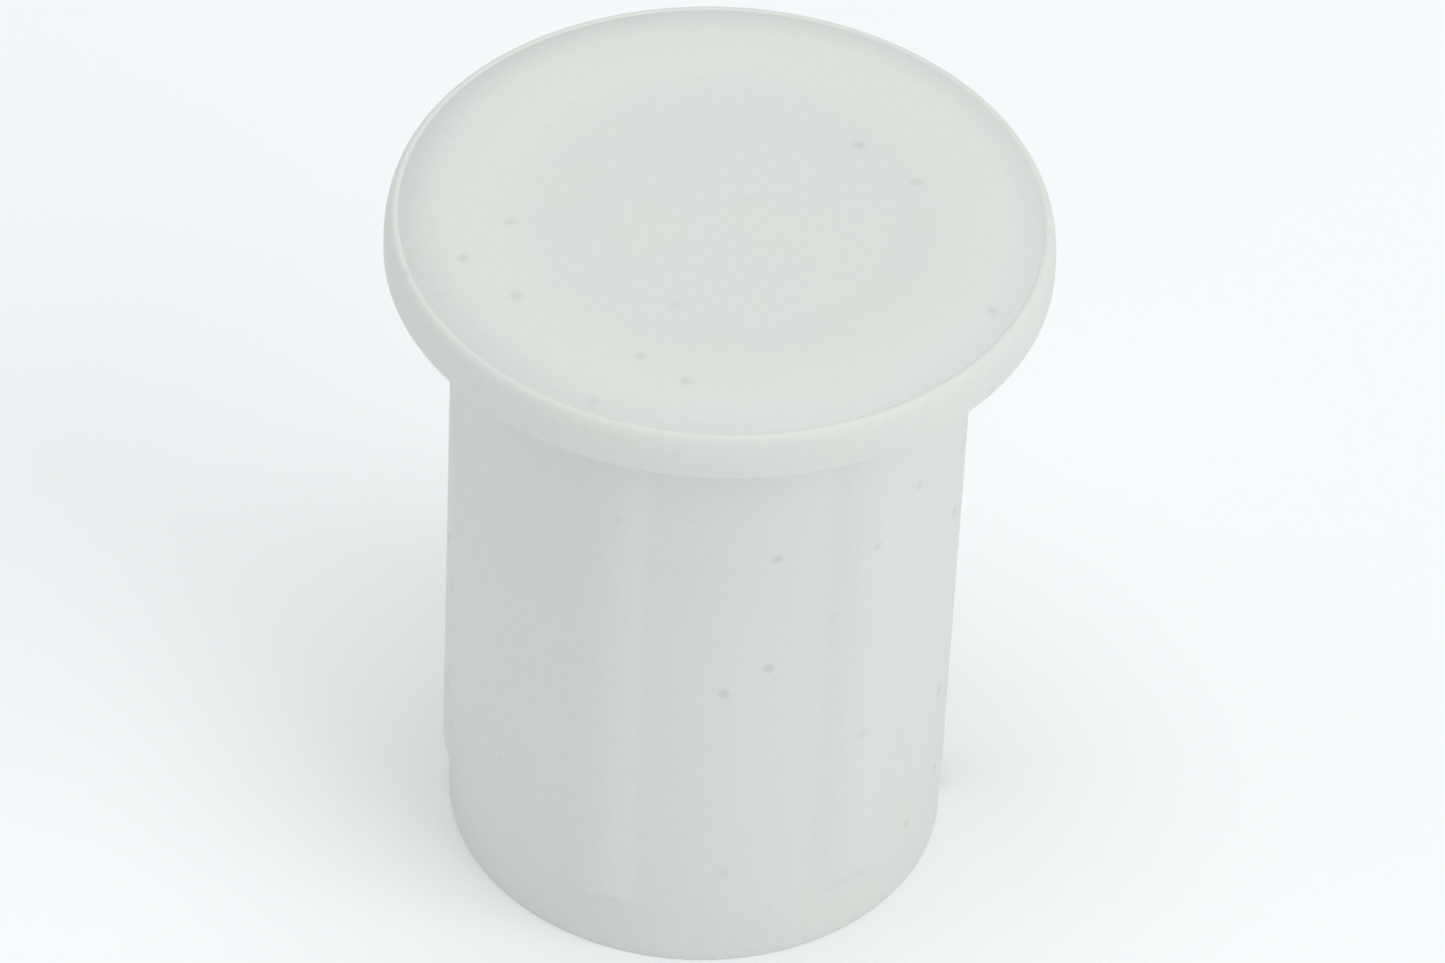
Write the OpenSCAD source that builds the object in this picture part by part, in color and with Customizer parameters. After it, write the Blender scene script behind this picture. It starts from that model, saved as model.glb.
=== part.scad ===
// Flanged split-sleeve wall anchor with a push-in cover cap.
// The sleeve goes into a drilled hole up to its flange. Turning the screw clockwise draws a
// keyed wedge up into the tapered bore, and the sleeve spreads along its slit and grips the hole.
// The origin is on the axis, in the plane of the flange's underside. +Z points out of the wall.
// The slit is at +X, and five ribs fill the other places of a six-place pattern.

/* [Flange] */
// Diameter of the flange
flange_d = 20; // [19:0.5:26]
// Height of the flange's rim above the wall
rim_h = 1.43; // [1.2:0.05:2.4]
// Radius of the rim's rounded upper edge
rim_round = 0.3; // [0.1:0.05:0.3]
// Width of the thin lip around the cap
lip_w = 0.36; // [0.32:0.02:0.8]

/* [Barrel] */
// Length of the barrel below the flange
barrel_len = 22.3; // [19:0.1:40]
// Diameter of the barrel between the ribs
barrel_d = 15.5; // [15.4:0.1:18.8]
// Difference between the barrel's and the pilot end's diameters
pilot_step = 0.06; // [0.02:0.02:0.6]
// Length of the plain pilot end that starts the anchor in its hole
pilot_len = 1.5; // [1:0.1:3]
// Length of the slight taper from the barrel to the pilot end
pilot_taper = 0.6; // [0.4:0.1:1.5]
// Thickness of the sleeve's wall at its open end
end_wall = 1.3; // [1:0.05:1.5]

/* [Ribs] */
// Places in the ring of ribs, of which the slit takes one
rib_places = 6; // [4:1:8]
// Height of a rib above the barrel
rib_h = 0.22; // [0.1:0.02:0.5]
// Radius of a rib's rounded crown, seen along the axis
rib_round = 2.5; // [1.5:0.1:4]
// Length of the sloping lead-in at a rib's lower end
rib_lead = 0.8; // [0.4:0.1:2]

/* [Slit] */
// Width of the expansion slit
slit_w = 1.5; // [1.2:0.1:2.4]
// Distance from the flange to the slit's rounded end
slit_start = 6; // [3:0.5:8]

/* [Cap] */
// How far the cap's edge stands proud of the rim
cap_proud = 0.26; // [0:0.02:0.6]
// Depth of the recess that holds the cap's disc
cap_sink = 0.63; // [0.4:0.01:0.8]
// Width of the cap's softly rounded shoulder
shoulder_w = 1.4; // [0.4:0.1:1.8]
// How far the shoulder falls towards the cap's edge
shoulder_drop = 0.22; // [0.05:0.01:0.3]
// Width of the level crest between the shoulder and the dish
crest_w = 0.4; // [0.2:0.1:1]
// Depth of the shallow dish in the cap's face
dish_depth = 0.16; // [0.02:0.02:0.4]
// Radius of the flat middle of the dish
dish_flat_r = 5; // [2:0.5:6]
// Depth of the cap's skirt below the flange's underside
skirt_depth = 2.6; // [1.8:0.1:3]
// Thickness of the cap's skirt
skirt_wall = 0.65; // [0.5:0.05:0.75]
// Height of the friction bead around the skirt
bead_h = 0.15; // [0.05:0.01:0.25]
// Width of the slots that split the skirt into springy fingers
skirt_slot_w = 1; // [0.5:0.1:2]
// Slots in the skirt
skirt_slots = 4; // [2:2:8]

/* [Screw, washer and nut] */
// Nominal diameter of the screw
screw_d = 5; // [4:0.5:5.5]
// Pitch of the screw's thread
screw_pitch = 0.8; // [0.5:0.1:1]
// Diameter of the screw's head
head_d = 8.5; // [7:0.1:9]
// Height of the screw's head
head_h = 5; // [3:0.1:5.5]
// Radius of the head's rounded upper edge
head_round = 0.35; // [0.1:0.05:0.6]
// Width across the flats of the hexagonal drive socket
socket_af = 4; // [3:0.5:5]
// Depth of the drive socket
socket_depth = 2.5; // [2:0.1:3]
// Chamfer on the screw's tip
tip_chamfer = 0.5; // [0.2:0.1:0.8]
// Distance from the wedge's open end up to the screw's tip
tip_inset = 1.2; // [0.2:0.1:2.4]
// Outer diameter of the washer
washer_d = 10; // [9:0.1:10.4]
// Thickness of the washer
washer_t = 1; // [0.6:0.1:1.2]
// Width across the flats of the nut
nut_af = 8; // [7:0.1:8]
// Height of the nut
nut_h = 4; // [2.5:0.1:5]
// Chamfer around the nut's corners
nut_chamfer = 0.35; // [0.1:0.05:0.5]

/* [Wedge] */
// Length of the wedge
wedge_len = 6.5; // [6:0.1:9]
// Half angle of the wedge and of its seat
wedge_angle = 8; // [5:0.5:10]
// Turns of the screw that draw the wedge from rest until it meets its seat
wedge_turns = 2; // [1:0.5:3]
// Depth of the wedge's open end inside the sleeve
wedge_inset = 0.3; // [0.1:0.1:2]
// Thickness of the sleeve's web that carries the washer
web_t = 2.5; // [1.5:0.1:4]
// Distance of the key fin's edge inside the pilot end's surface
key_inset = 0.4; // [0.2:0.1:1]

/* [Clearances] */
// Gap around the cap's disc in its recess
cap_gap = 0.05; // [0.05:0.01:0.1]
// Gap between the friction bead and the cup's wall
bead_gap = 0.05; // [0.05:0.01:0.2]
// Gap around the washer in the cup
washer_gap = 0.4; // [0.2:0.05:0.6]
// Gap around the screw in the washer
washer_bore_gap = 0.15; // [0.1:0.05:0.3]
// Gap around the screw in the web
web_bore_gap = 0.25; // [0.1:0.05:0.5]
// Gap around the screw in the wedge
wedge_bore_gap = 0.2; // [0.1:0.05:0.4]
// Running gap between the screw and the nut, both drawn without thread
thread_gap = 0.05; // [0.03:0.01:0.1]
// Gap around the nut's flats in its pocket
nut_gap = 0.05; // [0.02:0.01:0.15]
// Gap between the wedge and its seat after those turns
seat_gap = 0.05; // [0.03:0.01:0.2]
// Room above the wedge after those turns, which it uses up while the sleeve spreads
spread_room = 1.6; // [0.6:0.1:2.2]
// Gap on each side of the key fin in the slit
key_gap = 0.15; // [0.1:0.05:0.3]

/* [Hidden] */
$fn = 96;
nylon = [0.93, 0.94, 0.92];
steel = [0.72, 0.73, 0.75];
over = 1;

// Radii
flange_r = flange_d / 2;
recess_r = flange_r - lip_w;
cap_r = recess_r - cap_gap;
shoulder_r = cap_r - shoulder_w;
shoulder_round = (shoulder_w * shoulder_w + shoulder_drop * shoulder_drop) / (2 * shoulder_drop);
dish_r = shoulder_r - crest_w;
barrel_r = barrel_d / 2;
pilot_r = barrel_r - pilot_step / 2;
rib_r = barrel_r + rib_h;
rib_centre = rib_r - rib_round;
screw_r = screw_d / 2;
cup_r = washer_d / 2 + washer_gap;
bead_r = cup_r - bead_gap;
skirt_r = bead_r - bead_h;
skirt_bore_r = skirt_r - skirt_wall;
wedge_bore_r = screw_r + wedge_bore_gap;
key_w = slit_w - 2 * key_gap;
key_r = pilot_r - key_inset;

// Heights
cap_seat_z = rim_h - cap_sink;
cap_h = cap_sink + cap_proud;
cap_top_z = rim_h + cap_proud;
travel = wedge_turns * screw_pitch;
wedge_z = wedge_inset - barrel_len;
wedge_top_z = wedge_z + wedge_len;
web_z = wedge_top_z + travel + spread_room;
cup_floor_z = web_z + web_t;
head_z = cup_floor_z + washer_t;
tip_z = wedge_z + tip_inset;

// The tapered seat narrows towards the flange, and the wedge meets it at the end of its free travel.
slope = tan(wedge_angle);
seat_mouth_r = pilot_r - end_wall;
function seat_r(z) = seat_mouth_r - (z + barrel_len) * slope;
function wedge_r(z) = seat_r(z + travel) - seat_gap / cos(wedge_angle);

// Height of the dish's surface: flat in the middle, then rising smoothly to the crest
dish_steps = 14;
function dish_z(r) = let (u = max(0, (r - dish_flat_r) / (dish_r - dish_flat_r)))
    cap_top_z - dish_depth * (1 + cos(180 * u)) / 2;

// Disc that stands on z = 0, with a square lower edge and a rounded upper edge
module round_disc(r, h, round_r) {
    rotate_extrude() {
        square([r - round_r, h]);
        square([r, h - round_r]);
        translate([r - round_r, h - round_r]) circle(r = round_r);
    }
}

// Hexagonal prism that stands on z = 0
module hex_prism(flats, h) {
    cylinder(r = flats / 2 / cos(30), h = h, $fn = 6);
}

// Barrel with the slightly smaller pilot end
module barrel() {
    rotate_extrude() polygon([
        [0, over / 2],
        [barrel_r, over / 2],
        [barrel_r, pilot_len + pilot_taper - barrel_len],
        [pilot_r, pilot_len - barrel_len],
        [pilot_r, -barrel_len],
        [0, -barrel_len]
    ]);
}

// One rounded rib along the barrel, with a sloping lead-in at its lower end
module rib() {
    rib_end_z = pilot_len + pilot_taper / 4 - barrel_len;
    intersection() {
        translate([rib_centre, 0, rib_end_z]) cylinder(r = rib_round, h = over / 2 - rib_end_z);
        rotate_extrude() polygon([
            [0, over / 2],
            [rib_r, over / 2],
            [rib_r, rib_end_z + rib_lead],
            [pilot_r - rib_h, rib_end_z],
            [0, rib_end_z]
        ]);
    }
}

// Cup for the cap's skirt, the screw's head and the washer
module cup_space() {
    translate([0, 0, cup_floor_z]) cylinder(r = cup_r, h = rim_h - cup_floor_z + over);
}

// Slit from the open end up to its rounded end, on the +X side only
module slit_space() {
    slit_top_z = -slit_start - slit_w / 2;
    translate([0, -slit_w / 2, -barrel_len - over])
        cube([flange_r, slit_w, barrel_len + over + slit_top_z]);
    translate([0, 0, slit_top_z]) rotate([0, 90, 0]) cylinder(d = slit_w, h = flange_r);
}

// Tapered seat, open at the lower end
module seat_space() {
    translate([0, 0, -barrel_len - over])
        cylinder(r1 = seat_r(-barrel_len - over), r2 = seat_r(web_z), h = web_z + barrel_len + over);
}

module sleeve() {
    color(nylon) difference() {
        union() {
            round_disc(flange_r, rim_h, rim_round);
            barrel();
            for (i = [1 : rib_places - 1]) rotate([0, 0, i * 360 / rib_places]) rib();
        }
        translate([0, 0, cap_seat_z]) cylinder(r = recess_r, h = cap_sink + over);
        cup_space();
        translate([0, 0, web_z - over]) cylinder(r = screw_r + web_bore_gap, h = web_t + 2 * over);
        seat_space();
        slit_space();
    }
}

// Space above the dished face
module dish_space() {
    rotate_extrude() polygon(concat(
        [[0, cap_top_z + over], [0, dish_z(0)]],
        [for (i = [0 : dish_steps])
            let (r = dish_flat_r + (dish_r - dish_flat_r) * i / dish_steps) [r, dish_z(r)]],
        [[dish_r, cap_top_z + over]]
    ));
}

// Skirt with its friction bead and a tapered lead
module skirt() {
    bead_z = -skirt_depth + skirt_wall;
    rotate_extrude() polygon([
        [skirt_bore_r, cap_seat_z + cap_sink / 2],
        [skirt_r, cap_seat_z + cap_sink / 2],
        [skirt_r, bead_z + 2 * bead_h],
        [bead_r, bead_z + bead_h],
        [bead_r, bead_z],
        [skirt_r - bead_h, -skirt_depth],
        [skirt_bore_r, -skirt_depth]
    ]);
}

// Disc whose shoulder is an arc that leaves the level crest smoothly
module cap_disc() {
    translate([0, 0, cap_seat_z]) rotate_extrude() {
        square([shoulder_r, cap_h]);
        intersection() {
            square([cap_r, cap_h]);
            translate([shoulder_r, cap_h - shoulder_round]) circle(r = shoulder_round);
        }
    }
}

module cap() {
    color(nylon) difference() {
        union() {
            cap_disc();
            skirt();
        }
        dish_space();
        for (i = [0 : skirt_slots - 1])
            rotate([0, 0, (i + 0.5) * 360 / skirt_slots])
                translate([0, -skirt_slot_w / 2, -skirt_depth - over])
                    cube([cup_r, skirt_slot_w, skirt_depth + over]);
    }
}

module screw() {
    color(steel) difference() {
        union() {
            translate([0, 0, head_z]) round_disc(head_d / 2, head_h, head_round);
            translate([0, 0, tip_z + tip_chamfer]) cylinder(r = screw_r, h = head_z - tip_z);
            translate([0, 0, tip_z])
                cylinder(r1 = screw_r - tip_chamfer, r2 = screw_r, h = tip_chamfer);
        }
        translate([0, 0, head_z + head_h - socket_depth]) hex_prism(socket_af, socket_depth + over);
    }
}

module washer() {
    color(steel) translate([0, 0, cup_floor_z]) difference() {
        cylinder(d = washer_d, h = washer_t);
        translate([0, 0, -over]) cylinder(r = screw_r + washer_bore_gap, h = washer_t + 2 * over);
    }
}

module wedge() {
    color(nylon) difference() {
        union() {
            translate([0, 0, wedge_z])
                cylinder(r1 = wedge_r(wedge_z), r2 = wedge_r(wedge_top_z), h = wedge_len);
            translate([0, -key_w / 2, wedge_z]) cube([key_r, key_w, wedge_len]);
        }
        translate([0, 0, wedge_z - over]) cylinder(r = wedge_bore_r, h = wedge_len + 2 * over);
        translate([0, 0, wedge_z - over]) hex_prism(nut_af + 2 * nut_gap, nut_h + over);
    }
}

// Nut with both faces chamfered at the corners
module hex_nut() {
    corner_r = nut_af / 2 / cos(30);
    chamfer_h = nut_chamfer * tan(30);
    color(steel) translate([0, 0, wedge_z]) difference() {
        intersection() {
            hex_prism(nut_af, nut_h);
            rotate_extrude() polygon([
                [0, 0],
                [corner_r - nut_chamfer, 0],
                [corner_r, chamfer_h],
                [corner_r, nut_h - chamfer_h],
                [corner_r - nut_chamfer, nut_h],
                [0, nut_h]
            ]);
        }
        translate([0, 0, -over]) cylinder(r = screw_r + thread_gap, h = nut_h + 2 * over);
    }
}

sleeve();
cap();
screw();
washer();
wedge();
hex_nut();
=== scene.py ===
"""Looks of the flanged wall anchor: moulded nylon sleeve, cap and wedge, and plated steel inside."""

import math

import bmesh
import bpy
from mathutils import Matrix, Vector


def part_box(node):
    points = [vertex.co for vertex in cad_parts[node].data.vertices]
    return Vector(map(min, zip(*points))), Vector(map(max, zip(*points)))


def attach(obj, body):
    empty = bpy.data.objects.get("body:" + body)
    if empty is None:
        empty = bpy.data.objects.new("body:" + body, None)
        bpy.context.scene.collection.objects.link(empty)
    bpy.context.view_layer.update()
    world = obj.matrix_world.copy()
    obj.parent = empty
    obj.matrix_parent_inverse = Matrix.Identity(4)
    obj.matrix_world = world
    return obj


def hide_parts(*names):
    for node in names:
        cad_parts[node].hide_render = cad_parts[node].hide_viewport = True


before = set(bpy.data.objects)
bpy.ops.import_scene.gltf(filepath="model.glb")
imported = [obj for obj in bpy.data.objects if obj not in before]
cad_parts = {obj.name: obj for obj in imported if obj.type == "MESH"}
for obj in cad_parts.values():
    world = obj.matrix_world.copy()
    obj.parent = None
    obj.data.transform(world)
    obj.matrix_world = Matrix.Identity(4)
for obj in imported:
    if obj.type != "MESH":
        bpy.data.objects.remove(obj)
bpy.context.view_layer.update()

MM = 0.001
TURN = 2 * math.pi


# ---------------------------------------------------------------- sizes, in millimetres
def low(node):
    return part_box(node)[0] / MM


def high(node):
    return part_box(node)[1] / MM


# Read from the frame
FLANGE_R = high("sleeve").y
RIM_Z = high("sleeve").z
END_Z = low("sleeve").z
CAP_R = high("cap").y
CAP_TOP = high("cap").z
SKIRT_END = low("cap").z
HEAD_R = high("screw").y
HEAD_TOP = high("screw").z
TIP_Z = low("screw").z
WASHER_R = high("washer").y
WASHER_LOW = low("washer").z
WASHER_TOP = high("washer").z
WEDGE_R = high("wedge").y
WEDGE_LOW = low("wedge").z
WEDGE_TOP = high("wedge").z
KEY_R = high("wedge").x
NUT_LOW = low("hex_nut").z
NUT_TOP = high("hex_nut").z
NUT_FLAT_R = high("hex_nut").y

# The design's own sizes, which no box shows
BARREL_R = 7.75
PILOT_R = 7.72
PILOT_LEN = 1.5
PILOT_TAPER = 0.6
RIB_PLACES = 6
RIB_H = 0.22
RIB_ROUND = 2.5
RIB_LEAD = 0.8
SLIT_HALF = 0.75
SLIT_TOP = -6.75
LIP_W = 0.36
CAP_SINK = 0.63
RECESS_R = FLANGE_R - LIP_W
RECESS_Z = RIM_Z - CAP_SINK
CUP_R = 5.4
WEB_T = 2.5
WEB_BORE_R = 2.75
SEAT_MOUTH_R = 6.42
SEAT_DEG = 8
SLOPE = math.tan(math.radians(SEAT_DEG))
SKIRT_R = 5.2
BEAD_H = 0.15
SKIRT_BORE_R = 4.55
SKIRT_SLOT_HALF = 0.5
SKIRT_SLOTS = 4
SHOULDER_W = 1.4
CREST_W = 0.4
DISH_DEPTH = 0.16
DISH_FLAT_R = 5.0
SCREW_R = 2.5
PITCH = 0.8
SOCKET_R = 2.0
SOCKET_DEPTH = 2.5
WASHER_BORE_R = 2.65
WEDGE_BORE_R = 2.7
KEY_HALF = 0.6
POCKET_GAP = 0.05

# The crease between cap and sleeve: the gap in it, and its depth below the rim
SEAM = 0.001
VALLEY = 0.028

# Shapes that only the looks have: width and height of the rim's rounding, and the thread's depth and rows
RIM_SOFT = 0.31
RIM_TALL = 0.95
THREAD_H = 0.43
THREAD_ROW = PITCH / 14


# ---------------------------------------------------------------- outlines of turned shapes
def arc(centre_r, centre_z, radius, start, end, steps=5, squash=1.0):
    """Points of an arc in the (radius, height) plane, with angles in degrees; squash scales its height."""
    points = []
    for i in range(steps + 1):
        a = math.radians(start + (end - start) * i / steps)
        points.append((centre_r + radius * math.cos(a), centre_z + radius * squash * math.sin(a)))
    return points


def run(start, end, step=0.5):
    """Points along a straight line, without its end point."""
    count = max(1, math.ceil(math.dist(start, end) / step))
    return [
        tuple(start[k] + (end[k] - start[k]) * i / count for k in (0, 1)) for i in range(count)
    ]


def rows(heights, radius_at):
    """Points at the given heights, each at the radius that radius_at gives for its height."""
    return [(radius_at(z), z) for z in heights]


def spaced(start, end, step):
    """Values from start to end, the end included."""
    count = max(1, round(abs(end - start) / step))
    return [start + (end - start) * i / count for i in range(count + 1)]


# ---------------------------------------------------------------- turned shapes with open-ended slots
# Distances of the columns and rows that follow a slot's edge
EDGE_STEPS = (0.0, 0.03, 0.07, 0.12, 0.18, 0.3)
# Height over which the rows above a slot come back level
FADE = 3.0
# Outline points past the cut ones that the rounding of a slot's edge can reach
EDGE_REACH = 6
# Stands for a point that is nowhere near a slot
FAR_AWAY = 9.0
# A point nearer the axis than this is on it
ON_AXIS = 1e-9


class Slots:
    """Evenly spaced slots that run from height top to the turned shape's lower end. They cut only what is
    further than least_r from the axis. half is half their width, and edge is the rounding of their edges."""

    def __init__(self, first, count, half, top, round_end, edge, least_r):
        self.first, self.count, self.half = first, count, half
        self.top, self.round_end, self.edge, self.least_r = top, round_end, edge, least_r

    def columns(self, total):
        """Each column is (kind, slot, value): 'in' ones lie across a slot, 'near' and 'far' ones follow its
        two edges, and 'out' ones lie between slots."""
        cols = []
        across = 12
        between = total // self.count
        for s in range(self.count):
            cols += [("in", s, -1 + 2 * i / across) for i in range(across)]
            cols += [("near", s, d) for d in EDGE_STEPS]
            cols += [("out", s, (i + 1) / (between + 1)) for i in range(between)]
            cols += [("far", s, d) for d in reversed(EDGE_STEPS[1:])]
        return cols

    def angle(self, column, r):
        kind, s, value = column
        pitch = TURN / self.count
        base = self.first + s * pitch
        reach = max(r, self.least_r)

        def off(d):
            return math.asin((self.half + d) / reach)

        if kind == "in":
            return base + math.asin(value * self.half / reach)
        if kind == "near":
            return base + off(value)
        if kind == "far":
            return base + pitch - off(value)
        start = base + off(EDGE_STEPS[-1])
        end = base + pitch - off(EDGE_STEPS[-1])
        return start + (end - start) * value

    def end_height(self, across):
        """Height of the slot's end above its top row."""
        return self.half * math.sqrt(max(0.0, 1 - across * across)) if self.round_end else 0.0

    def outside(self, angle, r, z):
        """Distance of a point on the wall from the nearest slot's edge."""
        pitch = TURN / self.count
        nearest = (angle - self.first + pitch / 2) % pitch - pitch / 2
        across = abs(r * math.sin(nearest))
        if abs(nearest) > math.pi / 2:
            return FAR_AWAY
        if z <= self.top:
            return across - self.half
        if self.round_end:
            return math.hypot(across, z - self.top) - self.half
        return math.hypot(max(0.0, across - self.half), z - self.top)


def inward(profile, k, closed):
    """Unit normal of the outline at point k, into the material."""
    last = len(profile) - 1
    before = profile[k - 1] if k or closed else profile[0]
    after = profile[(k + 1) % len(profile)] if k < last or closed else profile[last]
    dr, dz = after[0] - before[0], after[1] - before[1]
    size = math.hypot(dr, dz) or 1.0
    return dz / size, -dr / size


def turned(name, profile, columns, shape=None, closed=True, slots=None, cut=None):
    """Closed mesh of a turned outline. shape(r, z, k, angle) moves its points, and cut is the range of
    outline points that the slots remove."""
    mesh = bmesh.new()
    grid = []
    count = len(profile)
    for column in columns:
        line = []
        for k, (r, z) in enumerate(profile):
            if r < ON_AXIS:
                line.append(None)
                continue
            if slots:
                angle = slots.angle(column, r)
                above = z - slots.top
                if column[0] == "in" and not cut[0] < k < cut[1] and 0 <= above < FADE:
                    z += slots.end_height(column[2]) * (1 - above / FADE)
                gap = slots.outside(angle, r, z)
                if gap < slots.edge and cut[0] - EDGE_REACH <= k <= cut[1] + EDGE_REACH:
                    depth = slots.edge - max(0.0, gap)
                    sink = slots.edge - math.sqrt(max(0.0, slots.edge**2 - depth**2))
                    nr, nz = inward(profile, k, closed)
                    r, z = r + nr * sink, z + nz * sink
            else:
                angle = column
            if shape:
                r, z = shape(r, z, k, angle)
            line.append(mesh.verts.new((r * math.cos(angle) * MM, r * math.sin(angle) * MM, z * MM)))
        grid.append(line)
    poles = {}
    for k in (0, count - 1):
        if not closed:
            poles[k] = mesh.verts.new((0, 0, profile[k][1] * MM))
    wide = len(columns)
    for j in range(wide):
        here, there = grid[j], grid[(j + 1) % wide]
        in_slot = slots is not None and columns[j][0] == "in"
        for k in range(count if closed else count - 1):
            m = (k + 1) % count
            if in_slot and cut and cut[0] <= k < cut[1]:
                continue
            ring = [here[k] or poles.get(k), here[m] or poles.get(m), there[m], there[k]]
            mesh.faces.new([v for v in ring if v is not None])
        if in_slot and cut:
            mesh.faces.new([here[cut[0]], here[cut[1]], there[cut[1]], there[cut[0]]])
    if slots and cut:
        for j in range(wide):
            if columns[j][0] == "in" and columns[j - 1][0] != "in":
                mesh.faces.new(grid[j][cut[0] : cut[1] + 1])
            if columns[j][0] != "in" and columns[j - 1][0] == "in":
                mesh.faces.new(reversed(grid[j][cut[0] : cut[1] + 1]))
    bmesh.ops.recalc_face_normals(mesh, faces=mesh.faces)
    return to_object(name, mesh)


def to_object(name, mesh, sharp_deg=40):
    data = bpy.data.meshes.new(name)
    mesh.to_mesh(data)
    mesh.free()
    data.shade_smooth()
    data.set_sharp_from_angle(angle=math.radians(sharp_deg))
    piece = bpy.data.objects.new(name, data)
    bpy.context.scene.collection.objects.link(piece)
    weights = piece.modifiers.new("even_normals", "WEIGHTED_NORMAL")
    weights.keep_sharp = True
    weights.weight = 80
    return piece


def even_angles(count):
    return [TURN * i / count for i in range(count)]


def hexagon(angle):
    """Radius of a hexagon with corners on +X, for an inner radius of 1."""
    return 1 / math.cos((angle + math.pi / 6) % (math.pi / 3) - math.pi / 6)


def soft_above(value, soft):
    """value where it is positive and 0 where it isn't, with a rounded change."""
    return (value + math.sqrt(value * value + soft * soft)) / 2


# ---------------------------------------------------------------- sleeve
WEB_LOW = WASHER_LOW - WEB_T
RIB_END = END_Z + PILOT_LEN + PILOT_TAPER / 4


def rib_bump(angle, z):
    """Height of the ribs above the barrel."""
    pitch = TURN / RIB_PLACES
    end_soft, side_soft = 0.1, 0.05
    number = round(angle / pitch)
    if number % RIB_PLACES == 0:
        return 0.0
    off = angle - number * pitch
    centre = BARREL_R + RIB_H - RIB_ROUND
    side = centre * math.sin(off)
    if abs(side) >= RIB_ROUND:
        return 0.0
    crown = centre * math.cos(off) + math.sqrt(RIB_ROUND**2 - side**2) - BARREL_R
    run_out = 2 * RIB_H + BARREL_R - PILOT_R
    limit = RIB_H - run_out * (RIB_END + RIB_LEAD - z) / RIB_LEAD
    height = crown - soft_above(crown - limit, end_soft)
    # What the rounding leaves a millimetre below the surface is taken off again
    return soft_above(height, side_soft) - soft_above(-1.0, side_soft)


def barrel_radius(z):
    taper_top = END_Z + PILOT_LEN + PILOT_TAPER
    share = min(1.0, max(0.0, (taper_top - z) / PILOT_TAPER))
    return BARREL_R + (PILOT_R - BARREL_R) * share


def sleeve_outline():
    """Closed outline, from the lip down the outside and up the inside, with the index of some points."""
    root, edge, foot = 0.2, 0.07, 0.04
    bore_edge, cup_round, cup_edge, recess_round = 0.15, 0.12, 0.2, 0.06
    root_steps = 4
    lip_r = CAP_R + SEAM
    crest_r = FLANGE_R - RIM_SOFT
    lip_steps = 4
    shares = [i / lip_steps for i in range(lip_steps + 1)]
    points = [(lip_r + (crest_r - lip_r) * u, RIM_Z - VALLEY * (1 - u) ** 2) for u in shares]
    points += arc(crest_r, RIM_Z - RIM_TALL, RIM_SOFT, 90, 0, 12, squash=RIM_TALL / RIM_SOFT)[1:]
    points += run((FLANGE_R, RIM_Z - RIM_TALL), (FLANGE_R, edge), 0.3)[1:]
    points += arc(FLANGE_R - edge, edge, edge, 0, -90, 4)
    points += run((FLANGE_R - edge, 0), (BARREL_R + root, 0), 0.4)[1:]
    barrel_start = len(points)
    points += arc(BARREL_R + root, -root, root, 90, 180, root_steps)
    heights = spaced(-root, SLIT_TOP + 0.3, 0.4)[1:]
    heights += [SLIT_TOP + d for d in reversed(EDGE_STEPS[:-1])]
    heights += spaced(SLIT_TOP, RIB_END + RIB_LEAD + 0.3, 0.4)[1:]
    heights += spaced(RIB_END + RIB_LEAD + 0.3, RIB_END - 0.2, 0.07)[1:]
    heights += spaced(RIB_END - 0.2, END_Z + foot, 0.25)[1:]
    slit_outer = barrel_start + root_steps + 1 + heights.index(SLIT_TOP)
    points += rows(heights, barrel_radius)
    barrel_end = len(points)
    points += arc(PILOT_R - foot, END_Z + foot, foot, 0, -90, 4)[1:]
    points += run((PILOT_R - foot, END_Z), (SEAT_MOUTH_R + foot, END_Z), 0.3)[1:]
    points += arc(SEAT_MOUTH_R + foot, END_Z + foot, foot, -90, -180, 3)
    seat_top_r = SEAT_MOUTH_R - (WEB_LOW - END_Z) * SLOPE
    points += run((SEAT_MOUTH_R, END_Z + foot), (seat_top_r, WEB_LOW), 0.6)[1:]
    bore_edge_r = WEB_BORE_R + bore_edge
    points += run((seat_top_r, WEB_LOW), (bore_edge_r, WEB_LOW), 0.6)
    points += [(bore_edge_r, WEB_LOW)]
    points += run((WEB_BORE_R, WEB_LOW + bore_edge), (WEB_BORE_R, WASHER_LOW - bore_edge), 0.6)
    points += [(WEB_BORE_R, WASHER_LOW - bore_edge)]
    points += run((bore_edge_r, WASHER_LOW), (CUP_R - cup_round, WASHER_LOW), 0.6)
    points += arc(CUP_R - cup_round, WASHER_LOW + cup_round, cup_round, -90, 0, 3)
    points += run((CUP_R, WASHER_LOW + cup_round), (CUP_R, SLIT_TOP), 0.6)[1:]
    slit_inner = len(points)
    points += rows([SLIT_TOP + d for d in EDGE_STEPS], lambda z: CUP_R)
    points += run((CUP_R, SLIT_TOP + 0.6), (CUP_R, RECESS_Z - cup_edge), 0.6)
    points += [(CUP_R, RECESS_Z - cup_edge), (CUP_R + cup_edge, RECESS_Z)]
    points += run((CUP_R + cup_edge, RECESS_Z), (RECESS_R - recess_round, RECESS_Z), 0.6)[1:]
    points += arc(RECESS_R - recess_round, RECESS_Z + recess_round, recess_round, -90, 0, 3)
    # The wall leans in to the cap's edge near the top
    points += [(RECESS_R, RIM_Z - 0.4), (lip_r, RIM_Z - 0.25)]
    return points, barrel_start, barrel_end, (slit_outer, slit_inner)


def make_sleeve():
    outline, barrel_start, barrel_end, cut = sleeve_outline()
    slots = Slots(0.0, 1, SLIT_HALF, SLIT_TOP, True, 0.12, WEB_BORE_R)

    def shape(r, z, k, angle):
        if barrel_start <= k < barrel_end:
            r += rib_bump(angle % TURN, z)
        return r, z

    return turned("sleeve_shell", outline, slots.columns(340), shape, True, slots, cut)


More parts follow.
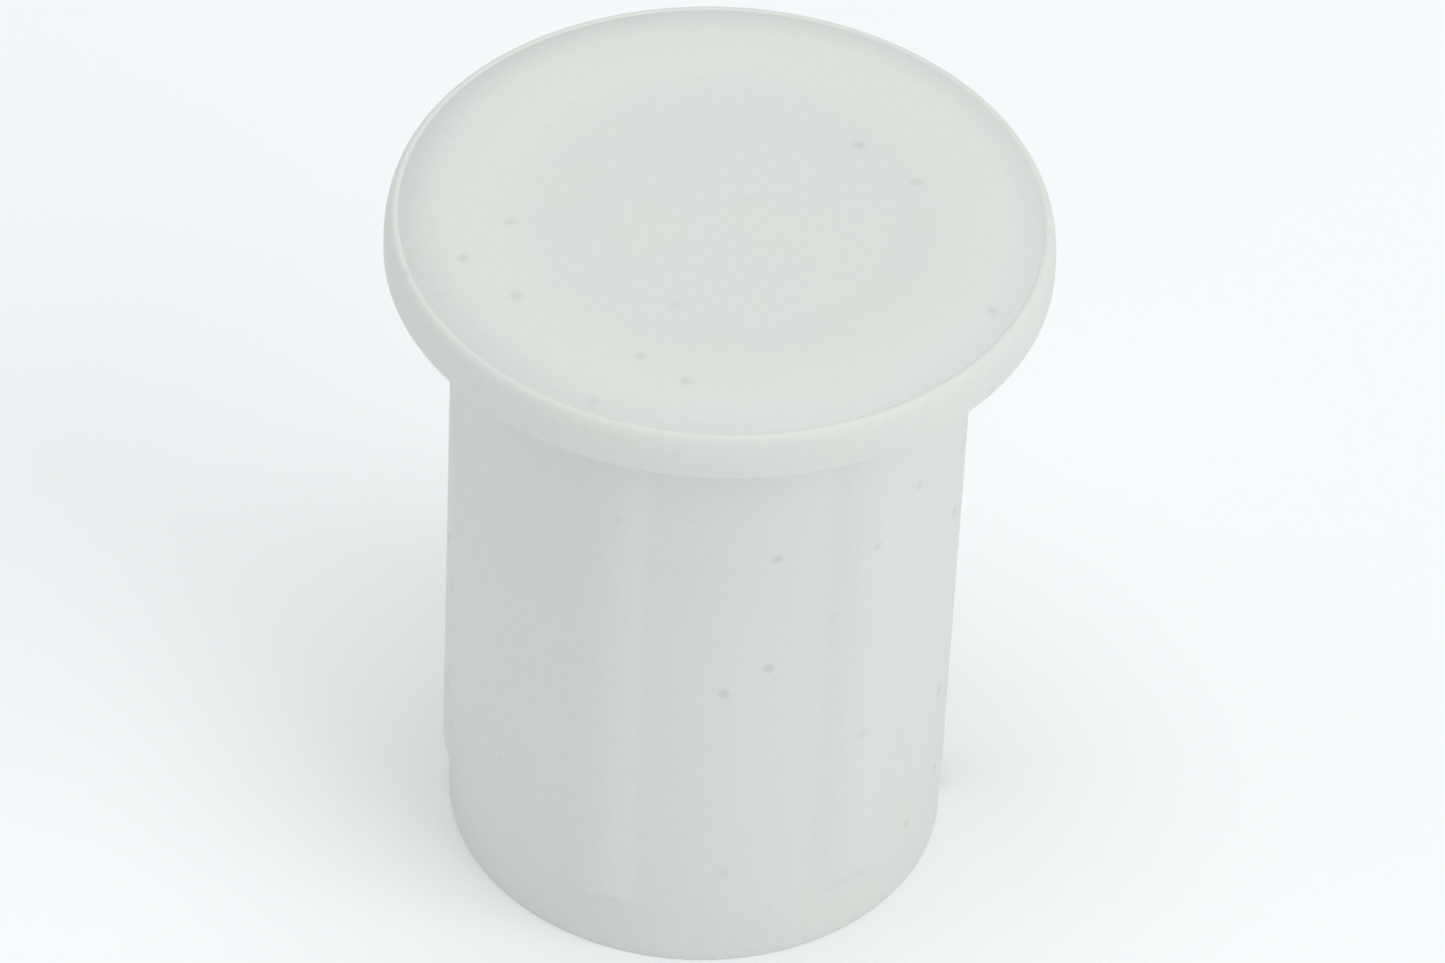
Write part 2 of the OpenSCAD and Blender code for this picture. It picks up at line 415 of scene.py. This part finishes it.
# ---------------------------------------------------------------- cap
def cap_face(r):
    """Height of the cap's face: a shallow dish, a level crest and a softly falling shoulder."""
    shoulder_r = CAP_R - SHOULDER_W
    span = shoulder_r - CREST_W - DISH_FLAT_R
    share = min(1.0, max(0.0, (r - DISH_FLAT_R) / span))
    dish = DISH_DEPTH * (1 + math.cos(math.pi * share)) / 2
    drop = CAP_TOP - RIM_Z + VALLEY
    return CAP_TOP - dish - drop * (max(0.0, r - shoulder_r) / SHOULDER_W) ** 2


def make_cap():
    """Outline from the middle of the face, down the edge and the skirt, to the middle of the underside."""
    lower, root, tip, inner_root = 0.06, 0.1, 0.1, 0.15
    slot_top = 0.0
    near_slot = [slot_top - d for d in EDGE_STEPS[:4]]
    points = [(r, cap_face(r)) for r in [0.0] + spaced(0.5, CAP_R, 0.1)]
    points += run((CAP_R, RIM_Z - VALLEY - 0.02), (CAP_R, RECESS_Z + lower), 0.2)
    points += arc(CAP_R - lower, RECESS_Z + lower, lower, 0, -90, 3)
    points += run((CAP_R - lower, RECESS_Z), (SKIRT_R + root, RECESS_Z), 0.5)[1:]
    points += arc(SKIRT_R + root, RECESS_Z - root, root, 90, 180, 3)
    points += [(SKIRT_R, slot_top + 0.2)]
    outer = len(points)
    points += rows(near_slot + [slot_top - 0.5, slot_top - 1.0], lambda z: SKIRT_R)
    bead_z = SKIRT_END + SKIRT_R - SKIRT_BORE_R
    points += [(SKIRT_R, bead_z + 2.2 * BEAD_H)]
    points += arc(SKIRT_R, bead_z + BEAD_H / 2, BEAD_H, 80, -60, 8, squash=1.6)
    points += arc(SKIRT_R - BEAD_H - tip, SKIRT_END + tip, tip, -10, -90, 3)
    points += arc(SKIRT_BORE_R + tip, SKIRT_END + tip, tip, -90, -180, 3)
    points += rows(spaced(SKIRT_END + 0.5, slot_top - 0.2, 0.4), lambda z: SKIRT_BORE_R)
    points += rows(reversed(near_slot[1:]), lambda z: SKIRT_BORE_R)
    inner = len(points)
    points += rows([slot_top, slot_top + 0.3], lambda z: SKIRT_BORE_R)
    points += arc(SKIRT_BORE_R - inner_root, RECESS_Z - inner_root, inner_root, 0, 90, 3)
    points += run((SKIRT_BORE_R - inner_root, RECESS_Z), (0, RECESS_Z), 0.6)[1:]
    points += [(0.0, RECESS_Z)]
    slots = Slots(TURN / 8, SKIRT_SLOTS, SKIRT_SLOT_HALF, slot_top, False, 0.05, SKIRT_BORE_R)
    return turned("cover_cap", points, slots.columns(240), None, False, slots, (outer, inner))


# ---------------------------------------------------------------- screw, nut and washer
def thread_depth(angle, z):
    """How far the thread's surface is below its crest, from 0 to 1. The helix is right-handed."""
    phase = (z / PITCH - angle / TURN) % 1.0
    off_groove = abs(phase - 0.5) * 2
    groove_end, flank = 0.92, 0.78
    return min(1.0, max(0.0, (groove_end - off_groove) / flank))


def make_screw():
    """Outline from the middle of the socket's floor, over the head and down the shank to its tip."""
    head_low = WASHER_TOP
    head_round, head_foot, neck, tip = 0.35, 0.15, 0.1, 0.6
    socket_floor = HEAD_TOP - SOCKET_DEPTH
    socket_mouth_r = SOCKET_R * 1.2
    points = [
        (0.0, socket_floor),
        (SOCKET_R - 0.05, socket_floor),
        (SOCKET_R, socket_floor + 0.05),
        (SOCKET_R, HEAD_TOP - 0.2),
    ]
    socket_end = len(points)
    points += run((socket_mouth_r, HEAD_TOP), (HEAD_R - 0.4, HEAD_TOP), 0.4)
    points += arc(HEAD_R - head_round, HEAD_TOP - head_round, head_round, 90, 0, 6)
    knurl_top = len(points)
    points += rows(spaced(HEAD_TOP - 0.55, head_low + 0.35, 0.14), lambda z: HEAD_R)
    knurl_end = len(points)
    points += arc(HEAD_R - head_foot, head_low + head_foot, head_foot, 0, -90, 3)
    points += run((HEAD_R - head_foot, head_low), (SCREW_R + neck, head_low), 0.5)[1:]
    points += arc(SCREW_R + neck, head_low - neck, neck, 90, 180, 3)
    thread_start = len(points)
    points += rows(spaced(head_low - 0.2, TIP_Z + 0.1, THREAD_ROW), lambda z: SCREW_R)
    thread_end = len(points)
    points += [(SCREW_R - 0.5, TIP_Z + 0.02), (SCREW_R - tip, TIP_Z), (1.0, TIP_Z), (0.0, TIP_Z)]

    def shape(r, z, k, angle):
        if k < socket_end:
            return r * hexagon(angle), z
        if knurl_top <= k < knurl_end:
            ridges, slant, depth = 44, 9.0, 0.045
            rise = math.cos(ridges * angle + slant * z) * math.cos(ridges * angle - slant * z)
            return r - depth * (1 - rise), z
        if thread_start <= k < thread_end:
            start = min(1.0, max(0.0, (head_low - 0.5 - z) / 0.5))
            chamfer = max(0.0, TIP_Z + tip - z)
            return min(r - THREAD_H * thread_depth(angle, z) * start, SCREW_R - chamfer), z
        return r, z

    return turned("socket_screw", points, even_angles(264), shape, closed=False)


def make_washer():
    """Outline down the rim, in along the underside and up the bore."""
    soft, bore_soft = 0.12, 0.06
    bore_edge_r = WASHER_BORE_R + bore_soft
    points = arc(WASHER_R - soft, WASHER_TOP - soft, soft, 90, 0, 4)
    points += arc(WASHER_R - soft, WASHER_LOW + soft, soft, 0, -90, 4)
    points += run((WASHER_R - soft, WASHER_LOW), (bore_edge_r, WASHER_LOW), 0.5)[1:]
    points += arc(bore_edge_r, WASHER_LOW + bore_soft, bore_soft, -90, -180, 3)
    points += arc(bore_edge_r, WASHER_TOP - bore_soft, bore_soft, 180, 90, 3)
    points += run((bore_edge_r, WASHER_TOP), (WASHER_R - soft, WASHER_TOP), 0.5)[1:]
    return turned("flat_washer", points, even_angles(144))


def make_nut():
    """Outline down the hexagon's sides and up the threaded bore."""
    corner_r = NUT_FLAT_R / math.cos(math.pi / 6)
    chamfer, face_edge, mouth, play = 0.35, 0.6, 0.25, 0.05
    rise = chamfer * math.tan(math.pi / 6)
    steps = 4
    top = [(corner_r - chamfer * (1 - i / steps), NUT_TOP - rise * i / steps) for i in range(steps + 1)]
    bottom = [(r, NUT_TOP + NUT_LOW - z) for r, z in reversed(top)]
    outer = top + bottom
    points = outer + [(SCREW_R + face_edge, NUT_LOW), (SCREW_R + mouth, NUT_LOW)]
    bore_start = len(points)
    points += rows(spaced(NUT_LOW + 0.02, NUT_TOP - 0.02, THREAD_ROW), lambda z: SCREW_R + play)
    bore_end = len(points)
    points += [(SCREW_R + mouth, NUT_TOP), (SCREW_R + face_edge, NUT_TOP)]

    def shape(r, z, k, angle):
        if k < len(outer):
            return min(r, NUT_FLAT_R * hexagon(angle)), z
        if bore_start <= k < bore_end:
            lead = max(0.0, z - NUT_TOP + 0.3, NUT_LOW + 0.3 - z)
            cut = r - THREAD_H * thread_depth(angle, z)
            return max(cut, SCREW_R - THREAD_H + play + lead * 1.4), z
        return r, z

    return turned("hex_nut_m5", points, even_angles(144), shape)


# ---------------------------------------------------------------- wedge
def make_wedge():
    """Outline down the cone and up through the nut's pocket and the bore, joined with the key fin."""
    soft, pocket_edge = 0.15, 0.12
    top_r = WEDGE_R - (WEDGE_TOP - WEDGE_LOW) * SLOPE
    points = arc(top_r - soft, WEDGE_TOP - soft, soft, 90, 0, 4)
    points += run((top_r + soft * SLOPE, WEDGE_TOP - soft), (WEDGE_R, WEDGE_LOW + soft), 0.5)[1:]
    points += arc(WEDGE_R - soft, WEDGE_LOW + soft, soft, 0, -90, 4)
    pocket_r = NUT_FLAT_R + POCKET_GAP
    pocket = len(points)
    points += [(pocket_r + pocket_edge, WEDGE_LOW)]
    points += run((pocket_r, WEDGE_LOW + pocket_edge), (pocket_r, NUT_TOP), 0.8)
    points += [(pocket_r, NUT_TOP)]
    pocket_end = len(points)
    points += [(WEDGE_BORE_R + 0.3, NUT_TOP)]
    points += run((WEDGE_BORE_R, NUT_TOP), (WEDGE_BORE_R, WEDGE_TOP - soft), 0.5)
    points += [(WEDGE_BORE_R, WEDGE_TOP - soft)]
    points += run((WEDGE_BORE_R + soft, WEDGE_TOP), (top_r - soft, WEDGE_TOP), 0.5)

    def shape(r, z, k, angle):
        return (r * hexagon(angle), z) if pocket <= k < pocket_end else (r, z)

    cone = turned("wedge_cone", points, even_angles(144), shape)
    key = key_fin(top_r - 0.6)
    join = cone.modifiers.new("key", "BOOLEAN")
    join.operation = "UNION"
    join.solver = "EXACT"
    join.object = key
    weights = cone.modifiers["even_normals"]
    cone.modifiers.remove(weights)
    bpy.context.view_layer.update()
    joined = bpy.data.meshes.new_from_object(cone.evaluated_get(bpy.context.evaluated_depsgraph_get()))
    cone.modifiers.clear()
    cone.data = joined
    bpy.data.objects.remove(key)
    joined.shade_smooth()
    joined.set_sharp_from_angle(angle=math.radians(35))
    return cone


def key_fin(inner_x):
    """Rounded bar that stands out of the cone and runs in the sleeve's slit."""
    mesh = bmesh.new()
    bmesh.ops.create_cube(mesh, size=1)
    lo = Vector((inner_x, -KEY_HALF, WEDGE_LOW))
    hi = Vector((KEY_R, KEY_HALF, WEDGE_TOP))
    for v in mesh.verts:
        for axis in range(3):
            v.co[axis] = (lo[axis] if v.co[axis] < 0 else hi[axis]) * MM
    outer = [e for e in mesh.edges if max(v.co.x for v in e.verts) > (KEY_R - 0.01) * MM]
    bmesh.ops.bevel(mesh, geom=outer, offset=0.14 * MM, segments=4, profile=0.5, affect="EDGES")
    return to_object("key_fin", mesh)


# ---------------------------------------------------------------- materials
class Nodes:
    """Short forms for the nodes of one material."""

    def __init__(self, name):
        self.material = bpy.data.materials.new(name)
        self.material.use_nodes = True
        self.tree = self.material.node_tree
        self.shader = self.tree.nodes["Principled BSDF"]
        self.place = self.new("ShaderNodeTexCoord").outputs["Object"]

    def new(self, kind, **settings):
        node = self.tree.nodes.new(kind)
        for key, value in settings.items():
            setattr(node, key, value)
        return node

    def link(self, source, target):
        self.tree.links.new(source, target)

    def noise(self, size_mm, detail=2.0, rough=0.5, stretch=None, seed=0.0):
        """Noise with features of about size_mm."""
        place = self.place
        if stretch or seed:
            mapping = self.new("ShaderNodeMapping")
            mapping.inputs["Scale"].default_value = stretch or (1, 1, 1)
            mapping.inputs["Location"].default_value = (seed, seed * 0.7, seed * 1.3)
            self.link(place, mapping.inputs["Vector"])
            place = mapping.outputs["Vector"]
        node = self.new("ShaderNodeTexNoise")
        node.inputs["Scale"].default_value = 1 / (size_mm * MM)
        node.inputs["Detail"].default_value = detail
        node.inputs["Roughness"].default_value = rough
        self.link(place, node.inputs["Vector"])
        return node.outputs["Fac"]

    def from_axis(self):
        """Distance from the anchor's axis, in millimetres."""
        flat = self.new("ShaderNodeVectorMath", operation="MULTIPLY")
        flat.inputs[1].default_value = (1 / MM, 1 / MM, 0)
        self.link(self.place, flat.inputs[0])
        length = self.new("ShaderNodeVectorMath", operation="LENGTH")
        self.link(flat.outputs["Vector"], length.inputs[0])
        return length.outputs["Value"]

    def ramp(self, source, start, end, low=0.0, high=1.0):
        """Maps source from start..end to low..high, clamped, with soft ends."""
        node = self.new("ShaderNodeMapRange", interpolation_type="SMOOTHSTEP")
        for key, value in zip(("From Min", "From Max", "To Min", "To Max"), (start, end, low, high)):
            node.inputs[key].default_value = value
        self.link(source, node.inputs["Value"])
        return node.outputs["Result"]

    def mix(self, share, first, second, blend="MIX"):
        """Colour mix; first and second are colours or sockets."""
        node = self.new("ShaderNodeMix", data_type="RGBA", blend_type=blend)
        for socket, value in ((node.inputs[6], first), (node.inputs[7], second)):
            if isinstance(value, bpy.types.NodeSocket):
                self.link(value, socket)
            else:
                socket.default_value = (*value, 1)
        if isinstance(share, bpy.types.NodeSocket):
            self.link(share, node.inputs[0])
        else:
            node.inputs[0].default_value = share
        return node.outputs[2]

    def times(self, first, second):
        node = self.new("ShaderNodeMath", operation="MULTIPLY")
        for socket, value in zip(node.inputs, (first, second)):
            if isinstance(value, bpy.types.NodeSocket):
                self.link(value, socket)
            else:
                socket.default_value = value
        return node.outputs[0]

    def bump(self, layers):
        """Stacks bump layers of (height socket, depth in millimetres)."""
        normal = None
        for height, depth in layers:
            node = self.new("ShaderNodeBump")
            node.inputs["Distance"].default_value = depth * MM
            self.link(height, node.inputs["Height"])
            if normal is not None:
                self.link(normal, node.inputs["Normal"])
            normal = node.outputs["Normal"]
        self.link(normal, self.shader.inputs["Normal"])


NYLON = (0.694, 0.721, 0.688)
STEEL = (0.66, 0.67, 0.69)
COOL = (0.991, 0.998, 1.003)
WARM = (1.010, 1.004, 0.990)
MOTTLE = (0.965, 0.965, 0.965)
DIRT = (0.84, 0.84, 0.84)
# Painted shade on the cap's face: a little darker in its middle and over the shoulder at its edge
CENTRE_SHADE = (0.976, 0.978, 0.984)
CAP_EDGE_SHADE = (0.925, 0.93, 0.95)
# Distance between specks, and the width of the fade of the painted shade in the cap's middle, in millimetres
SPECK_PITCH = 1.5
CENTRE_SHADE_FADE = 1.6


def tinted(colour, tint):
    """The colour with each channel multiplied by the tint's."""
    return tuple(c * f for c, f in zip(colour, tint))


def nylon(name, colour, roughness, seed, specks=0.4, centre_shade_r=None):
    """Moulded white nylon: faint warm and cool clouds, a fine mottle, a few soft dirt specks and a matt
    grain. With a radius given, it is the cap's, with painted shade: a little darker nearer the axis than
    that radius, and over the shoulder at its edge."""
    n = Nodes(name)
    cool = tinted(colour, COOL)
    warm = tinted(colour, WARM)
    clouds = n.ramp(n.noise(6.0, 3.0, 0.55, seed=seed), 0.36, 0.66)
    base = n.mix(clouds, cool, warm)
    mottle = n.ramp(n.noise(0.25, 4.0, 0.7, seed=seed + 0.2), 0.35, 0.7, 0.0, 0.7)
    base = n.mix(mottle, base, tinted(colour, MOTTLE))
    if centre_shade_r:
        away = n.from_axis()
        inside = n.ramp(away, centre_shade_r - CENTRE_SHADE_FADE, centre_shade_r, 1.0, 0.0)
        edge_shade = n.ramp(away, CAP_R - SHOULDER_W, CAP_R + 0.1)
        # Painted shade: darker towards the cap's middle and over the shoulder at its edge
        base = n.mix(inside, base, CENTRE_SHADE, blend="MULTIPLY")
        base = n.mix(edge_shade, base, CAP_EDGE_SHADE, blend="MULTIPLY")
    cells = n.new("ShaderNodeTexVoronoi")
    cells.inputs["Scale"].default_value = 1 / (SPECK_PITCH * MM)
    n.link(n.place, cells.inputs["Vector"])
    spot = n.ramp(cells.outputs["Distance"], 0.03, 0.19, 1.0, 0.0)
    split = n.new("ShaderNodeSeparateColor")
    n.link(cells.outputs["Color"], split.inputs[0])
    chosen = n.ramp(split.outputs[0], 1 - specks, 1 - specks * 0.9)
    faint = n.ramp(split.outputs[1], 0.0, 1.0, 0.15, 1.0)
    dirt = n.times(n.times(spot, chosen), faint)
    base = n.mix(dirt, base, tinted(colour, DIRT))
    n.link(base, n.shader.inputs["Base Color"])
    grain = n.noise(0.10, 3.0, 0.6)
    patches = n.noise(2.6, 3.0, seed=seed)
    rough = n.ramp(patches, 0.3, 0.7, roughness - 0.05, roughness + 0.06)
    n.link(rough, n.shader.inputs["Roughness"])
    n.bump([(n.noise(2.4, 2.0), 0.012), (grain, 0.0035)])
    n.shader.inputs["IOR"].default_value = 1.5
    n.shader.inputs["Specular IOR Level"].default_value = 0.35
    return n.material


def plated_steel(name, colour, roughness, seed):
    """Zinc-plated steel: fine turning marks, slight clouding and dull patches."""
    n = Nodes(name)
    dull = tinted(colour, (0.82, 0.82, 0.82))
    base = n.mix(n.ramp(n.noise(1.6, 4.0, 0.6, seed=seed), 0.35, 0.7), dull, colour)
    n.link(base, n.shader.inputs["Base Color"])
    marks = n.noise(0.5, 3.0, 0.6, stretch=(1, 1, 14), seed=seed)
    rough = n.mix(n.ramp(marks, 0.3, 0.7), (roughness - 0.07,) * 3, (roughness + 0.1,) * 3)
    n.link(rough, n.shader.inputs["Roughness"])
    n.bump([(marks, 0.004), (n.noise(0.12, 3.0), 0.0015)])
    n.shader.inputs["Metallic"].default_value = 1.0
    return n.material


def floor_paper(name):
    """Plain pale paper, faintly uneven."""
    n = Nodes(name)
    base = n.mix(n.ramp(n.noise(60.0, 2.0), 0.3, 0.7), (0.915, 0.935, 0.95), (0.935, 0.955, 0.97))
    n.link(base, n.shader.inputs["Base Color"])
    n.bump([(n.noise(1.5, 3.0), 0.004)])
    n.shader.inputs["Roughness"].default_value = 0.9
    n.shader.inputs["Specular IOR Level"].default_value = 0.1
    return n.material


# ---------------------------------------------------------------- pieces on their bodies
def place(piece, body, node, slot, material):
    """Puts a piece on its body, in the place of the CAD node."""
    piece.data.materials.clear()
    piece.data.materials.append(material)
    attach(piece, body)
    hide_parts(node)


def make_pieces():
    sleeve_look = nylon("sleeve_nylon", NYLON, 0.5, 0.1)
    # The cap's material gets painted shade in its middle and at its edge
    cap_look = nylon("cap_nylon", NYLON, 0.46, 0.5, centre_shade_r=7.0)
    wedge_look = nylon("wedge_nylon", tinted(NYLON, (0.95, 0.95, 0.95)), 0.5, 0.9, specks=0.1)
    screw_look = plated_steel("screw_zinc", STEEL, 0.3, 0.2)
    washer_look = plated_steel("washer_zinc", STEEL, 0.34, 0.4)
    nut_look = plated_steel("nut_zinc", STEEL, 0.32, 0.6)
    place(make_sleeve(), "sleeve", "sleeve", "sleeve_nylon", sleeve_look)
    place(make_cap(), "cap", "cap", "cap_nylon", cap_look)
    place(make_screw(), "screw", "screw", "plated_steel", screw_look)
    place(make_washer(), "sleeve", "washer", "plated_steel", washer_look)
    place(make_wedge(), "wedge", "wedge", "wedge_nylon", wedge_look)
    place(make_nut(), "wedge", "hex_nut", "plated_steel", nut_look)


# ---------------------------------------------------------------- camera, floor and light
VIEW_AZIMUTH = -8.0
VIEW_ELEVATION = 42.63
VIEW_ROLL = 2.84
LENS = 208.4
# In flange radii: the camera's distance from the cap's centre, and how far below and right of it it aims
VIEW_DISTANCE = 24.78
AIM_DOWN = 0.808
AIM_RIGHT = 0.0025


def make_camera():
    a, e, roll = (math.radians(x) for x in (VIEW_AZIMUTH, VIEW_ELEVATION, VIEW_ROLL))
    forward = Vector((-math.sin(a) * math.cos(e), math.cos(a) * math.cos(e), -math.sin(e)))
    right = Vector((math.cos(a), math.sin(a), 0))
    up = right.cross(forward)
    right, up = (
        right * math.cos(roll) + up * math.sin(roll),
        up * math.cos(roll) - right * math.sin(roll),
    )
    unit = FLANGE_R * MM
    aim = Vector((0, 0, CAP_TOP * MM)) + (right * AIM_RIGHT - up * AIM_DOWN) * unit
    data = bpy.data.cameras.new("camera")
    data.lens = LENS
    data.sensor_width = 36.0
    data.clip_start = 0.01
    data.clip_end = 20.0
    camera = bpy.data.objects.new("camera", data)
    bpy.context.scene.collection.objects.link(camera)
    camera.location = aim - forward * VIEW_DISTANCE * unit
    axes = (right, up, -forward)
    camera.rotation_mode = "QUATERNION"
    camera.rotation_quaternion = Matrix(axes).transposed().to_quaternion()
    bpy.context.scene.camera = camera


def make_floor():
    """Wide square in the plane of the barrel's end, with half its width in metres."""
    data = bpy.data.meshes.new("floor")
    half = 3.0
    z = END_Z * MM
    corners = [(-half, -half, z), (half, -half, z), (half, half, z), (-half, half, z)]
    data.from_pydata(corners, [], [(0, 1, 2, 3)])
    floor = bpy.data.objects.new("floor", data)
    data.materials.append(floor_paper("floor_paper"))
    bpy.context.scene.collection.objects.link(floor)


def soft_box(name, azimuth, elevation, distance, size, power, colour=(1, 1, 1)):
    """Square area light, aimed at the anchor's middle. Azimuth is measured from +X, and distance and size
    are in metres."""
    data = bpy.data.lights.new(name, "AREA")
    data.shape = "SQUARE"
    data.size = size
    data.energy = power
    data.color = colour
    light = bpy.data.objects.new(name, data)
    bpy.context.scene.collection.objects.link(light)
    a, e = math.radians(azimuth), math.radians(elevation)
    way = Vector((math.cos(a) * math.cos(e), math.sin(a) * math.cos(e), math.sin(e)))
    light.location = way * distance + Vector((0, 0, (CAP_TOP + END_Z) / 2 * MM))
    light.rotation_mode = "QUATERNION"
    light.rotation_quaternion = way.to_track_quat("Z", "Y")


def make_light():
    """Soft studio light, fitted to the photo's shading: even cool surroundings and three soft boxes."""
    world = bpy.data.worlds.new("studio")
    world.use_nodes = True
    back = world.node_tree.nodes["Background"]
    back.inputs["Color"].default_value = (0.975, 0.99, 1.0, 1)
    back.inputs["Strength"].default_value = 0.65
    bpy.context.scene.world = world
    soft_box("key", -40, 35, 0.4, 0.28, 0.448)
    soft_box("overhead", 0, 89, 0.5, 0.35, 0.655, (1.0, 0.985, 0.955))
    soft_box("fill", 175, 35, 0.5, 0.35, 0.155)
    settings = bpy.context.scene.view_settings
    settings.view_transform = "Standard"
    settings.look = "None"
    settings.exposure = 0.0
    settings.gamma = 1.0


make_camera()
make_floor()
make_light()
make_pieces()
